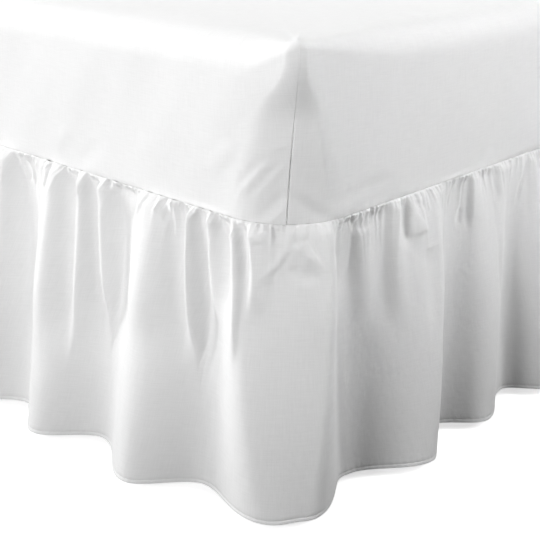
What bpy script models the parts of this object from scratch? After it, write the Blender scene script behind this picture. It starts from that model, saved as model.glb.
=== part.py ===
"""Fitted valance sheet on a double mattress and divan base.

One cloth sheet is boxed over the mattress with a dart at each corner, and a gathered frill is sewn
to its lower edge down both sides and across the foot. Under them are a plain mattress, a plain
divan base and its feet. Units are metres, +Z is up, the head is towards +Y and the foot towards -Y.
Everything is built about the middle of the mattress, then moved in plan so that the origin is on
the floor under the middle of the whole shape, frill included.
"""
import math

import bpy
import numpy as np

# Driving dimensions.
MATTRESS_WIDTH = 1.35
MATTRESS_LENGTH = 1.90
MATTRESS_DEPTH = 0.24
MATTRESS_CORNER = 0.120        # plan radius of the mattress corners
MATTRESS_TOP_ROLL = 0.040      # radius of the soft edge round the top panel
MATTRESS_LOWER_ROLL = 0.030
MATTRESS_CROWN = 0.006         # the top panel's rise from its edge to its middle
BASE_INSET = 0.006             # how far the base stands inside the mattress, each side
BASE_CORNER = 0.100
BASE_HEIGHT = 0.350
FOOT_HEIGHT = 0.050
FOOT_RADIUS = 0.030
FOOT_INSET = 0.160
CLOTH = 0.0015                 # thickness of the cloth
TOUCH = 0.0003                 # gap between pieces that touch
TUCK_GAP = 0.0012              # gap between the sheet's lower edge and the frill's raw edge behind it
SIDE_EASE = 0.002              # air between the mattress side and the sheet
SEAM_ABOVE_BASE = 0.002        # the frill's seam above the base's top face
SEAM_ALLOWANCE = 0.010         # the frill's raw edge behind the sheet's lower edge
FRILL_DROP = 0.390
SHEET_TOP_CORNER = 0.022       # plan radius of the sheet's boxed corner at its top
SHARPENS = 0.48                # share of the height where that corner starts to sharpen
DART_ROLL = 0.012              # radius of the sheet's edge where a dart ends
DART_SPREAD = 0.070            # along the edge, how far from a dart that edge is drawn tight
DART_PEAK = (0.001, 0.005)     # how far a dart's point stands out and up
DART_HOLLOW = 0.003            # the hollow below that point
TWIST = (0.005, 0.003)         # how far the arranged corner's top is pulled towards +X and +Y

# Levels, worked out from the sizes above.
BASE_TOP = FOOT_HEIGHT + TOUCH + BASE_HEIGHT
MATTRESS_BOTTOM = BASE_TOP + TOUCH
MATTRESS_TOP = MATTRESS_BOTTOM + MATTRESS_DEPTH
SEAM_LEVEL = BASE_TOP + SEAM_ABOVE_BASE

# The seam's plan: a rounded rectangle on the outer face of the sheet.
SEAM_HALF = (MATTRESS_WIDTH / 2 + SIDE_EASE + CLOTH, MATTRESS_LENGTH / 2 + SIDE_EASE + CLOTH)
SEAM_CORNER = 0.110

# Frill folds about the foot corner on the +X side, which hangs as arranged. Places are metres of
# seam from the middle of that corner, plus towards the head along the +X side and minus along the
# foot. A fold's ridge or hollow leaves the seam at one place, passes another half way down and
# meets the hem at a third.
FOLD_COLUMNS = ("at_seam", "half_way", "at_hem", "reach")   # reach: out of the seam's plan at the hem
CORNER_FOLDS = (
    (-0.645, -0.610, -0.571, 0.156),
    (-0.540, -0.515, -0.474, 0.101),
    (-0.480, -0.438, -0.391, 0.150),
    (-0.338, -0.302, -0.292, 0.083),
    (-0.238, -0.217, -0.180, 0.138),
    (-0.118, -0.088, -0.081, 0.061),
    (-0.058, -0.040, -0.013, 0.114),
    (0.050, 0.032, 0.010, 0.105),
    (0.078, 0.072, 0.071, 0.023),
    (0.265, 0.248, 0.196, 0.092),
    (0.325, 0.305, 0.280, 0.030),
    (0.440, 0.415, 0.358, 0.085),
    (0.500, 0.475, 0.462, 0.044),
    (0.575, 0.555, 0.526, 0.101),
)
# Small folds on top of those. A height below 0 is a hollow.
SMALL_COLUMNS = ("at_seam", "at_end", "ends", "half_width", "height")   # ends: share of the drop
SMALL_FOLDS = (
    (-0.445, -0.362, 0.55, 0.012, 0.008),
    (-0.385, -0.278, 0.75, 0.011, 0.008),
    (-0.208, -0.196, 0.14, 0.012, 0.007),
    (-0.168, -0.113, 0.50, 0.014, 0.007),
    (-0.148, -0.107, 0.45, 0.014, -0.007),
    (-0.133, -0.088, 0.34, 0.012, 0.008),
    (-0.104, -0.078, 0.30, 0.011, -0.008),
    (-0.080, -0.060, 0.50, 0.014, 0.008),
    (0.000, -0.030, 0.20, 0.014, 0.007),
    (0.004, 0.034, 0.17, 0.013, -0.008),
    (0.105, 0.098, 0.33, 0.012, 0.007),
    (0.122, 0.126, 0.36, 0.014, -0.007),
    (0.187, 0.168, 0.30, 0.012, 0.006),
    (0.200, 0.250, 0.24, 0.016, -0.009),
    (0.350, 0.322, 0.12, 0.014, -0.008),
    (0.565, 0.512, 0.22, 0.014, -0.009),
)
# The rest of the frill, gathered by eye: folds of about this seam pitch.
FOLD_PITCH = 0.190
HOLLOW_REACH = (0.030, 0.070)
RIDGE_REACH = (0.090, 0.135)
FOLD_SEED = 7

FINE_COLUMNS = 400             # columns of the frill's upper rows; the lower rows have half as many
FINE_ROWS = (-SEAM_ALLOWANCE / FRILL_DROP, 0.0, 0.03, 0.09, 0.19, 0.36)
COARSE_ROWS = (0.65, 1.0)
CORNER_STEPS = 10
SIDE_STEPS = 9
END_STEPS = 7
ROLL_STEPS = 4


# ---------------------------------------------------------------- plans


class RoundedPlan:
    """A rounded rectangle in plan, read by the length s along it from the middle of the foot corner on +X.

    The outline is an inner rectangle of corner centres plus a radius along the normal. Both the
    inner point and the normal's angle are piecewise linear in s.
    """

    def __init__(self, half, radius):
        straight = (2 * (half[0] - radius), 2 * (half[1] - radius))
        arc = radius * math.pi / 2
        x, y = half[0] - radius, half[1] - radius
        steps = [arc / 2, straight[1], arc, straight[0], arc, straight[1], arc, straight[0], arc / 2]
        self.radius = radius
        self.arc = arc
        self.straight = straight
        self.stops = np.concatenate([[0.0], np.cumsum(steps)])
        self.length = self.stops[-1]
        quarter = math.pi / 2
        self.angles = np.array([-0.5, 0, 0, 1, 1, 2, 2, 3, 3, 3.5]) * quarter
        self.inner_x = np.array([x, x, x, x, -x, -x, -x, -x, x, x])
        self.inner_y = np.array([-y, -y, y, y, y, y, -y, -y, -y, -y])

    def at(self, s):
        """Inner point and outward normal at s, each as an array of (x, y)."""
        s = np.mod(s, self.length)
        angle = np.interp(s, self.stops, self.angles)
        inner = np.stack([np.interp(s, self.stops, self.inner_x), np.interp(s, self.stops, self.inner_y)], -1)
        return inner, np.stack([np.cos(angle), np.sin(angle)], -1)

    def columns(self, corner_steps, side_steps, end_steps):
        """Places s for a ring of columns, closer together round the corners."""
        counts = [corner_steps // 2, side_steps, corner_steps, end_steps, corner_steps, side_steps,
                  corner_steps, end_steps, corner_steps // 2]
        parts = [np.linspace(a, b, n, endpoint=False) for a, b, n in zip(self.stops, self.stops[1:], counts)]
        return np.concatenate(parts)


# ---------------------------------------------------------------- frill


def eased(t):
    """A cosine ease from 0 to 1."""
    return 0.5 - 0.5 * np.cos(np.pi * np.clip(t, 0.0, 1.0))


def through(first, middle, last, t):
    """The parabola in t that passes through first at 0, middle at one half and last at 1."""
    bend = 4.0 * middle - 3.0 * first - last
    return first + bend * t + (last - first - bend) * t * t


def frill_ends(seam):
    """Places s of the frill's two ends, at the start of each head corner."""
    return -(seam.arc * 1.5 + seam.straight[0] + seam.straight[1]), seam.arc / 2 + seam.straight[1]


def filled_folds(first, last, rng, starts_high):
    """Folds between two places, ridge and hollow by turns, at an uneven pitch near FOLD_PITCH / 2."""
    count = max(1, round(abs(last - first) / (FOLD_PITCH / 2)))
    steps = 1.0 + rng.uniform(-0.22, 0.22, count)
    places = first + (last - first) * np.cumsum(steps) / steps.sum()
    rows = []
    for number, place in enumerate(places[:-1]):
        high = (number % 2 == 0) == starts_high
        reach = rng.uniform(*(RIDGE_REACH if high else HOLLOW_REACH))
        drift = rng.uniform(-0.02, 0.02)
        rows.append((place + drift, place + 0.4 * drift, place, reach))
    return rows


def all_folds(seam):
    """The whole frill's folds in order of place: the arranged corner, the other foot corner, the sides."""
    rng = np.random.default_rng(FOLD_SEED)
    low, high = frill_ends(seam)
    other = -(seam.arc + seam.straight[0])
    corner = [(other + 1.1 * d, other + 1.05 * d, other + d, reach)
              for d, reach in ((-0.072, 0.040), (0.0, 0.110), (0.072, 0.045))]
    rows = list(CORNER_FOLDS) + corner
    rows += filled_folds(CORNER_FOLDS[0][2], corner[-1][2], rng, False)
    rows += filled_folds(corner[0][2], low, rng, True) + [(low, low, low, 0.060)]
    rows += filled_folds(CORNER_FOLDS[-1][2], high, rng, False) + [(high, high, high, 0.060)]
    return np.array(sorted(rows, key=lambda row: row[2]))


def frill_offset(s, v, folds):
    """How far the frill's outer face stands out of the seam's plan at seam place s and drop share v.

    The flare is the folds' running mean times v. The folds swing about it, each side of a fold a
    cosine ease, and their swing opens with v to the power 0.6.
    """
    places = through(folds[:, 0], folds[:, 1], folds[:, 2], v)
    reach = folds[:, 3]
    left = np.clip(np.searchsorted(places, s) - 1, 0, len(places) - 2)
    share = (s - places[left]) / (places[left + 1] - places[left])
    wave = reach[left] + (reach[left + 1] - reach[left]) * eased(share)
    mean = np.interp(s, (places[1:] + places[:-1]) / 2, (reach[1:] + reach[:-1]) / 2)
    return mean * v + (wave - mean) * v ** 0.6


def small_offset(s, v):
    """The small folds: for each row a cosine bump across it, which rises below the seam and fades at its end."""
    out = np.zeros_like(s)
    for at_seam, at_end, ends, half_width, height in SMALL_FOLDS:
        place = at_seam + (at_end - at_seam) * (v / ends) ** 1.3
        fade = eased(v / 0.04) * eased((ends + 0.05 - v) / (0.3 * ends))
        out += height * fade * (1.0 - eased(np.abs(s - place) / (1.6 * half_width)))
    return out


def gather_offset(s, v, phase):
    """Gathers below the seam: uneven ripples about 36 mm apart that fade out down the frill."""
    swell = np.exp(-v / 0.30) * eased(v / 0.04)
    return 0.0055 * swell * np.sin(phase) + 0.004 * swell


def hem_spaced(seam, folds, count):
    """Places s of count + 1 columns that are evenly spaced along the hem's own length."""
    low, high = frill_ends(seam)
    s = np.linspace(low, high, 4001)
    inner, normal = seam.at(s)
    hem = inner + normal * (seam.radius + frill_offset(s, 1.0, folds))[:, None]
    along = np.concatenate([[0.0], np.cumsum(np.linalg.norm(np.diff(hem, axis=0), axis=1))])
    return np.interp(np.linspace(0.0, along[-1], count + 1), along, s)


def frill_row(seam, folds, s, phase, v):
    """The points of one row of the frill."""
    inner, normal = seam.at(s)
    if v <= 0.0:
        out = np.full(len(s), -CLOTH - TUCK_GAP)
    else:
        out = frill_offset(s, v, folds) + small_offset(s, v) + gather_offset(s, v, phase)
        out = np.maximum(out, 0.2 * out - 0.0032)
    plan = inner + normal * (seam.radius + out)[:, None]
    level = SEAM_LEVEL - 2 * TOUCH - FRILL_DROP * v
    return np.column_stack([plan, np.full(len(s), level)])


def frill_mesh(seam):
    """Points and faces of the frill's outer face. The last fine row joins the first coarse one by triangles."""
    folds = all_folds(seam)
    fine_s = hem_spaced(seam, folds, FINE_COLUMNS)
    rng = np.random.default_rng(FOLD_SEED + 1)
    phase = np.cumsum(rng.uniform(1.6, 2.6, len(fine_s)))
    points, starts = [], []
    for v in FINE_ROWS:
        starts.append(sum(map(len, points)))
        points.append(frill_row(seam, folds, fine_s, phase, v))
    for v in COARSE_ROWS:
        starts.append(sum(map(len, points)))
        points.append(frill_row(seam, folds, fine_s[::2], phase[::2], v))
    faces = []
    for row, (upper, lower) in enumerate(zip(starts, starts[1:])):
        if row + 1 == len(FINE_ROWS):
            for j in range(FINE_COLUMNS // 2):
                a, b, c = (upper + 2 * j + k for k in range(3))
                d, e = lower + j, lower + j + 1
                faces += [(a, d, b), (b, d, e), (b, e, c)]
            continue
        columns = FINE_COLUMNS if row < len(FINE_ROWS) else FINE_COLUMNS // 2
        faces += [(upper + j, lower + j, lower + j + 1, upper + j + 1) for j in range(columns)]
    return np.concatenate(points), faces


# ---------------------------------------------------------------- boxed forms


def near_dart(s, plan, spread):
    """1 on a corner's middle and 0 beyond the spread from it, along the outline."""
    side, end = plan.straight[1], plan.straight[0]
    middles = np.array([0.0, plan.arc + side, 2 * plan.arc + side + end, 3 * plan.arc + 2 * side + end, plan.length])
    away = np.abs(s[:, None] - middles[None, :]).min(axis=1)
    return 1.0 - eased(away / spread)


def box_rings(half, corners, low, high, roll, dart=0.0):
    """Rings of points up the side, over the top edge and in across the top panel of a boxed form.

    The plan radius runs from the first of corners at the low level to the second at the top. The
    edge is a quarter turn whose radius is drawn in at a dart, and the panel rises by a parabola to
    its crown. A dart also lifts its point and hollows the side below, and the arranged corner's
    top is pulled a little towards +X and +Y.
    """
    rings = []
    for up in (0.0, 0.3, 0.6, 0.85) + tuple(1.0 + turn / ROLL_STEPS for turn in range(ROLL_STEPS + 1)):
        turn = math.pi / 2 * max(up - 1.0, 0.0)
        peak = math.sin(turn)
        sharp = eased((0.8 * min(up, 1.0) + 0.2 * peak - SHARPENS) / (1.0 - SHARPENS))
        plan = RoundedPlan(half, corners[0] + (corners[1] - corners[0]) * sharp)
        s = plan.columns(CORNER_STEPS, SIDE_STEPS, END_STEPS)
        inner, normal = plan.at(s)
        tight = dart * near_dart(s, plan, DART_SPREAD)
        point = dart * near_dart(s, plan, DART_SPREAD / 2)
        bend = roll + (DART_ROLL - roll) * tight
        hollow = math.sin(math.pi * min(up, 1.0)) ** 2 * DART_HOLLOW
        out = plan.radius - bend * (1.0 - math.cos(turn)) + point * (DART_PEAK[0] * peak - hollow)
        level = low + (high - bend - low) * min(up, 1.0) + bend * peak + point * DART_PEAK[1] * peak
        away = np.minimum(s, plan.length - s)
        pull = dart * (1.0 - eased(away / 0.10)) * eased((min(up, 1.0) - 0.35) / 0.6)
        rings.append(np.column_stack([inner + normal * out[:, None] + pull[:, None] * TWIST, level]))
    rim = rings[-1]
    for inward in (0.86, 0.55):
        ring = rim * (inward, inward, 1.0)
        ring[:, 2] = high + MATTRESS_CROWN * (1.0 - inward ** 2)
        rings.append(ring)
    return rings, high + MATTRESS_CROWN


def ring_faces(count, columns):
    """Quads between rings that run anticlockwise seen from above, from the lowest ring up."""
    faces = []
    for ring in range(count - 1):
        a, b = ring * columns, (ring + 1) * columns
        faces += [(a + j, a + (j + 1) % columns, b + (j + 1) % columns, b + j) for j in range(columns)]
    return faces


def open_box_mesh(rings, middle):
    """Points and faces of rings closed by a fan at the top, open below."""
    columns = len(rings[0])
    points = np.concatenate(rings + [np.array([[0.0, 0.0, middle]])])
    faces = ring_faces(len(rings), columns)
    last = (len(rings) - 1) * columns
    faces += [(last + j, last + (j + 1) % columns, len(points) - 1) for j in range(columns)]
    return points, faces


def sheet_mesh():
    """The sheet's outer face."""
    rings, middle = box_rings(SEAM_HALF, (SEAM_CORNER, SHEET_TOP_CORNER), SEAM_LEVEL,
                              MATTRESS_TOP + CLOTH + 2 * TOUCH, MATTRESS_TOP_ROLL, dart=1.0)
    return open_box_mesh(rings, middle)


def mattress_mesh():
    """The mattress: the same boxed form with rolled lower edges and a flat underside."""
    half = (MATTRESS_WIDTH / 2, MATTRESS_LENGTH / 2)
    roll = MATTRESS_LOWER_ROLL
    rings, middle = box_rings(half, (MATTRESS_CORNER, MATTRESS_CORNER), MATTRESS_BOTTOM + roll,
                              MATTRESS_TOP, MATTRESS_TOP_ROLL)
    plan = RoundedPlan(half, MATTRESS_CORNER)
    inner, normal = plan.at(plan.columns(CORNER_STEPS, SIDE_STEPS, END_STEPS))
    lower = []
    for step in range(3):
        turn = math.pi / 2 * step / 3
        out = MATTRESS_CORNER - roll + roll * math.sin(turn)
        level = MATTRESS_BOTTOM + roll - roll * math.cos(turn)
        lower.append(np.column_stack([inner + normal * out, np.full(len(inner), level)]))
    points, faces = open_box_mesh(lower + rings, middle)
    underside = tuple(range(len(inner)))[::-1]
    return points, faces + [underside]


# ---------------------------------------------------------------- objects


def cloth_material(name, colour, roughness):
    material = bpy.data.materials.new(name)
    material.use_nodes = True
    shader = material.node_tree.nodes["Principled BSDF"]
    shader.inputs["Base Color"].default_value = (*colour, 1.0)
    shader.inputs["Roughness"].default_value = roughness
    shader.inputs["Metallic"].default_value = 0.0
    material.diffuse_color = (*colour, 1.0)
    return material


def add_object(name, mesh_data, middle, material):
    points, faces = mesh_data
    mesh = bpy.data.meshes.new(name)
    mesh.from_pydata((points - middle).tolist(), [], faces)
    mesh.validate()
    mesh.shade_smooth()
    mesh.materials.append(material)
    item = bpy.data.objects.new(name, mesh)
    bpy.context.scene.collection.objects.link(item)
    return item


def give_thickness(item):
    """Cloth thickness on the inner side of the modelled face."""
    solid = item.modifiers.new("Cloth", "SOLIDIFY")
    solid.thickness = CLOTH
    solid.offset = -1.0
    solid.use_even_offset = False


def base_mesh():
    """The divan base: an upright block with rounded plan corners."""
    half = (MATTRESS_WIDTH / 2 - BASE_INSET, MATTRESS_LENGTH / 2 - BASE_INSET)
    plan = RoundedPlan(half, BASE_CORNER)
    s = plan.columns(CORNER_STEPS, 1, 1)
    inner, normal = plan.at(s)
    outline = inner + normal * BASE_CORNER
    columns = len(s)
    low, high = FOOT_HEIGHT + TOUCH, BASE_TOP
    points = np.concatenate([np.column_stack([outline, np.full(columns, level)]) for level in (low, high)])
    faces = ring_faces(2, columns)
    faces += [tuple(range(columns))[::-1], tuple(range(columns, 2 * columns))]
    return points, faces


def add_feet(middle, material):
    """Three glides down each side of the base."""
    x = MATTRESS_WIDTH / 2 - FOOT_INSET
    y = MATTRESS_LENGTH / 2 - FOOT_INSET
    for row, place_y in (("foot", -y), ("middle", 0.0), ("head", y)):
        for side, place_x in (("left", -x), ("right", x)):
            bpy.ops.mesh.primitive_cylinder_add(vertices=16, radius=FOOT_RADIUS, depth=FOOT_HEIGHT,
                                                location=(place_x - middle[0], place_y - middle[1],
                                                          FOOT_HEIGHT / 2))
            glide = bpy.context.active_object
            glide.name = f"glide_{row}_{side}"
            glide.data.name = glide.name
            glide.data.materials.append(material)


def main():
    for item in list(bpy.data.objects):
        bpy.data.objects.remove(item)
    seam = RoundedPlan(SEAM_HALF, SEAM_CORNER)
    cotton = cloth_material("white_cotton", (0.86, 0.86, 0.87), 0.85)
    ticking = cloth_material("mattress_ticking", (0.80, 0.79, 0.76), 0.9)
    base_cloth = cloth_material("base_cloth", (0.62, 0.60, 0.57), 0.9)
    plastic = cloth_material("glide_plastic", (0.05, 0.05, 0.05), 0.5)
    sheet, frill = sheet_mesh(), frill_mesh(seam)
    every = np.concatenate([sheet[0], frill[0]])
    middle = (every.min(axis=0) + every.max(axis=0)) / 2
    middle[2] = 0.0
    give_thickness(add_object("fitted_sheet", sheet, middle, cotton))
    give_thickness(add_object("frill", frill, middle, cotton))
    add_object("mattress", mattress_mesh(), middle, ticking)
    add_object("divan_base", base_mesh(), middle, base_cloth)
    add_feet(middle, plastic)


main()
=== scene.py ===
"""Looks of the fitted valance sheet: cotton, seams, gathers, hem, floor, light and camera.

The mattress, the base and the glides show as the frame gives them, in its plain materials.
"""
import math

import bpy
import numpy as np
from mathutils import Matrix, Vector


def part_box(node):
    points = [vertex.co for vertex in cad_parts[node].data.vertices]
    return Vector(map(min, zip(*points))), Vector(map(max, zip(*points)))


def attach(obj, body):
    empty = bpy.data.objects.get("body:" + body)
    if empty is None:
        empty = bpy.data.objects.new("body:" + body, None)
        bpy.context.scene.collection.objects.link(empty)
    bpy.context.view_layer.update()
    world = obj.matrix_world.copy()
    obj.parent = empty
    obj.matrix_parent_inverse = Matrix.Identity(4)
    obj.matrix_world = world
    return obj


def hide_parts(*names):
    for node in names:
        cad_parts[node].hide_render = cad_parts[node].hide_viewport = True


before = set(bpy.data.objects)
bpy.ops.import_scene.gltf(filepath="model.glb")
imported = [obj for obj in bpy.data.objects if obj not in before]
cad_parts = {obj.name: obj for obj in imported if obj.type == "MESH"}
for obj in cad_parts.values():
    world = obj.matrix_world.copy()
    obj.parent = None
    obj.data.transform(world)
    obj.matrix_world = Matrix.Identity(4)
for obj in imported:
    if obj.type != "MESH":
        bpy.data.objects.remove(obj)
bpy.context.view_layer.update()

# ---------------------------------------------------------------- places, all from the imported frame

BED_LOW, BED_HIGH = (np.array(corner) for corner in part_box("mattress"))
MIDDLE = (BED_LOW + BED_HIGH) / 2    # the mattress's middle in plan
STANDS_OFF = 0.0035              # from the mattress's side to the sheet's outer face
LIES_ON = 0.0021                 # from the mattress's top to the sheet's outer face
MATTRESS_CROWN = 0.0060          # the top's rise from its edge to its middle
SEAM_HALF = (BED_HIGH - BED_LOW)[:2] / 2 + STANDS_OFF    # the seam's plan, half width and half length
SEAM_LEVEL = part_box("fitted_sheet")[0][2]
SEAM_CORNER = 0.110              # plan radius of the seam at each corner
TOP_LEVEL = BED_HIGH[2] - MATTRESS_CROWN + LIES_ON       # the top panel's edge, below its crown
DROP = 0.390                     # the frill, from seam to hem


# ---------------------------------------------------------------- folds

# Frill folds about the arranged corner: metres of seam from the corner's middle, plus along the +X
# side, at the seam, half way down and at the hem, and the reach out of the seam's plan at the hem.
CORNER_FOLDS = (
    (-0.645, -0.610, -0.571, 0.156),
    (-0.540, -0.515, -0.474, 0.101),
    (-0.480, -0.438, -0.391, 0.150),
    (-0.338, -0.302, -0.292, 0.083),
    (-0.231, -0.212, -0.180, 0.138),
    (-0.118, -0.088, -0.081, 0.061),
    (-0.058, -0.040, -0.013, 0.114),
    (0.050, 0.032, 0.010, 0.105),
    (0.078, 0.072, 0.071, 0.023),
    (0.274, 0.255, 0.196, 0.092),
    (0.325, 0.305, 0.280, 0.030),
    (0.450, 0.422, 0.358, 0.085),
    (0.500, 0.475, 0.462, 0.044),
    (0.575, 0.555, 0.526, 0.101),
)
FOLD_PITCH = 0.190               # mean distance between the plain ridges elsewhere
PITCH_VARIES = 0.22              # how much of it a plain fold gains or loses at most
HOLLOW_REACH = (0.030, 0.070)    # least and most reach of the plain hollows at the hem
RIDGE_REACH = (0.090, 0.135)     # the same for the plain ridges
FOLD_DRIFT = 0.02                # how far along a plain fold may wander between hem and seam
FOLD_SEED = 7
# Folds about the other foot corner: metres from its middle at the hem, and reach. Further up they
# spread by a factor, the first half way and the second at the seam.
OTHER_CORNER_FOLDS = ((-0.072, 0.040), (0.0, 0.110), (0.072, 0.045))
OTHER_CORNER_SPREAD = (1.05, 1.1)
END_REACH = 0.060                # the frill's reach at its two ends
FOLDS_OPEN = 0.6                 # the power of the drop by which the folds open


def eased(t):
    """A cosine ease: half of one minus the cosine of pi t, held at 0 below 0 and at 1 above 1."""
    return 0.5 - 0.5 * np.cos(np.pi * np.clip(t, 0.0, 1.0))


def through(first, middle, last, t):
    """The parabola in t that passes through first at 0, middle at one half and last at 1."""
    bend = 4.0 * middle - 3.0 * first - last
    return first + bend * t + (last - first - bend) * t * t


class RoundedPlan:
    """A rounded rectangle in plan, read by the length s along it from the middle of the foot corner on +X.

    The point at s is an inner corner-centre point plus the radius along the normal; both the inner
    point and the normal's angle are piecewise linear in s.
    """

    def __init__(self, half, radius):
        straight = (2 * (half[0] - radius), 2 * (half[1] - radius))
        arc = radius * math.pi / 2
        x, y = half[0] - radius, half[1] - radius
        steps = [arc / 2, straight[1], arc, straight[0], arc, straight[1], arc, straight[0], arc / 2]
        self.radius, self.arc, self.straight = radius, arc, straight
        self.stops = np.concatenate([[0.0], np.cumsum(steps)])
        self.length = self.stops[-1]
        self.angles = np.array([-0.5, 0, 0, 1, 1, 2, 2, 3, 3, 3.5]) * math.pi / 2
        self.inner_x = np.array([x, x, x, x, -x, -x, -x, -x, x, x])
        self.inner_y = np.array([-y, -y, y, y, y, y, -y, -y, -y, -y])

    def at(self, s):
        """Inner point and outward normal at s, each with a last axis of x and y."""
        s = np.mod(s, self.length)
        angle = np.interp(s, self.stops, self.angles)
        ends = self.inner_x, self.inner_y
        inner = np.stack([np.interp(s, self.stops, values) for values in ends], -1)
        return inner, np.stack([np.cos(angle), np.sin(angle)], -1)


def frill_ends(seam):
    """Places s of the frill's two ends, at the start of each head corner."""
    return -(seam.arc * 1.5 + seam.straight[0] + seam.straight[1]), seam.arc / 2 + seam.straight[1]


def filled_folds(first, last, rng, starts_high):
    """Folds between two places, ridge and hollow by turns, at an uneven pitch near FOLD_PITCH / 2."""
    count = max(1, round(abs(last - first) / (FOLD_PITCH / 2)))
    steps = 1.0 + rng.uniform(-PITCH_VARIES, PITCH_VARIES, count)
    places = first + (last - first) * np.cumsum(steps) / steps.sum()
    rows = []
    for number, place in enumerate(places[:-1]):
        high = (number % 2 == 0) == starts_high
        reach = rng.uniform(*(RIDGE_REACH if high else HOLLOW_REACH))
        drift = rng.uniform(-FOLD_DRIFT, FOLD_DRIFT)
        rows.append((place + drift, place + 0.4 * drift, place, reach))
    return rows


def all_folds(seam):
    """The whole frill's folds in order of place: the arranged corner, the other foot corner, the sides."""
    rng = np.random.default_rng(FOLD_SEED)
    low, high = frill_ends(seam)
    other = -(seam.arc + seam.straight[0])
    half_way, at_seam = OTHER_CORNER_SPREAD
    corner = [(other + at_seam * away, other + half_way * away, other + away, reach)
              for away, reach in OTHER_CORNER_FOLDS]
    rows = list(CORNER_FOLDS) + corner
    rows += filled_folds(CORNER_FOLDS[0][2], corner[-1][2], rng, False)
    rows += filled_folds(corner[0][2], low, rng, True) + [(low, low, low, END_REACH)]
    rows += filled_folds(CORNER_FOLDS[-1][2], high, rng, False) + [(high, high, high, END_REACH)]
    return np.array(sorted(rows, key=lambda row: row[2]))


def frill_offset(s, v, folds):
    """The frill's reach out of the seam's plan for a row of places s and a column of drop shares v.

    The flare is the folds' running mean times v. The folds swing about it, each side of a fold a
    cosine ease, and their swing opens with v to the power FOLDS_OPEN.
    """
    out = np.empty(np.broadcast_shapes(s.shape, v.shape))
    reach = folds[:, 3]
    for row, drop in enumerate(np.maximum(v[:, 0], 0.0)):
        places = through(folds[:, 0], folds[:, 1], folds[:, 2], drop)
        left = np.clip(np.searchsorted(places, s[0]) - 1, 0, len(places) - 2)
        share = (s[0] - places[left]) / (places[left + 1] - places[left])
        wave = reach[left] + (reach[left + 1] - reach[left]) * eased(share)
        mean = np.interp(s[0], (places[1:] + places[:-1]) / 2, (reach[1:] + reach[:-1]) / 2)
        out[row] = mean * drop + (wave - mean) * drop ** FOLDS_OPEN
    return out


# Long folds, ridge (above 0) and hollow by turns: their places at the seam, half way and at their end,
# how far down they start and end, and their height, in metres. The plain ones elsewhere are uneven.
LONG_FOLDS = (
    (-0.660, -0.640, -0.620, 0.00, 0.300, 0.0000),
    (-0.622, -0.580, -0.547, 0.00, 0.300, 0.0124),
    (-0.603, -0.540, -0.515, 0.00, 0.260, -0.0093),
    (-0.478, -0.455, -0.433, 0.00, 0.240, 0.0107),
    (-0.445, -0.411, -0.380, 0.00, 0.240, -0.0139),
    (-0.411, -0.386, -0.367, 0.00, 0.220, 0.0099),
    (-0.393, -0.363, -0.330, 0.00, 0.220, -0.0118),
    (-0.361, -0.342, -0.313, 0.00, 0.200, 0.0124),
    (-0.318, -0.315, -0.304, 0.00, 0.220, -0.0139),
    (-0.242, -0.227, -0.216, 0.00, 0.180, 0.0118),
    (-0.172, -0.159, -0.146, 0.00, 0.190, -0.0110),
    (-0.163, -0.149, -0.120, 0.00, 0.200, 0.0105),
    (-0.144, -0.126, -0.114, 0.00, 0.210, -0.0136),
    (-0.122, -0.112, -0.092, 0.00, 0.140, 0.0110),
    (-0.104, -0.079, -0.067, 0.00, 0.130, -0.0118),
    (-0.078, -0.062, -0.056, 0.01, 0.170, 0.0075),
    (-0.063, -0.055, -0.050, 0.00, 0.075, -0.0080),
    (-0.053, -0.041, -0.040, 0.00, 0.110, 0.0093),
    (-0.020, -0.015, -0.015, 0.00, 0.100, 0.0000),
    (0.060, 0.045, 0.033, 0.00, 0.160, 0.0045),
    (0.103, 0.091, 0.090, 0.00, 0.100, -0.0054),
    (0.118, 0.118, 0.114, 0.02, 0.160, 0.0045),
    (0.174, 0.162, 0.154, 0.00, 0.170, -0.0048),
    (0.193, 0.182, 0.181, 0.00, 0.160, 0.0048),
    (0.212, 0.207, 0.207, 0.00, 0.065, -0.0060),
    (0.235, 0.230, 0.225, 0.00, 0.065, 0.0030),
    (0.261, 0.251, 0.240, 0.08, 0.180, -0.0037),
    (0.292, 0.285, 0.262, 0.00, 0.180, 0.0042),
    (0.381, 0.376, 0.370, 0.00, 0.080, -0.0042),
    (0.391, 0.385, 0.381, 0.00, 0.085, 0.0039),
    (0.428, 0.440, 0.430, 0.00, 0.200, -0.0057),
    (0.486, 0.470, 0.440, 0.00, 0.200, 0.0052),
    (0.540, 0.530, 0.520, 0.00, 0.200, 0.0000),
)
PLAIN_PITCH = (0.013, 0.034)     # least and most distance between the plain ones
PLAIN_ENDS = (0.05, 0.21)        # least and most distance down at which they end
PLAIN_HEIGHT = (0.0018, 0.0042)  # least and most height
PLAIN_DRIFT = 0.012              # how far along one may wander on its way down
PLAIN_GAP = 0.02                 # how far they keep from those above
LONG_SEED = 10
LONG_ROOM = 1e-5                 # the least distance between neighbouring long folds, where lines meet
LONG_RISES = 0.015               # over how much of the drop a long fold rises
LONG_FADES = (0.5, 0.4)          # it fades over this share of its length, this share of that past its end


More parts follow.
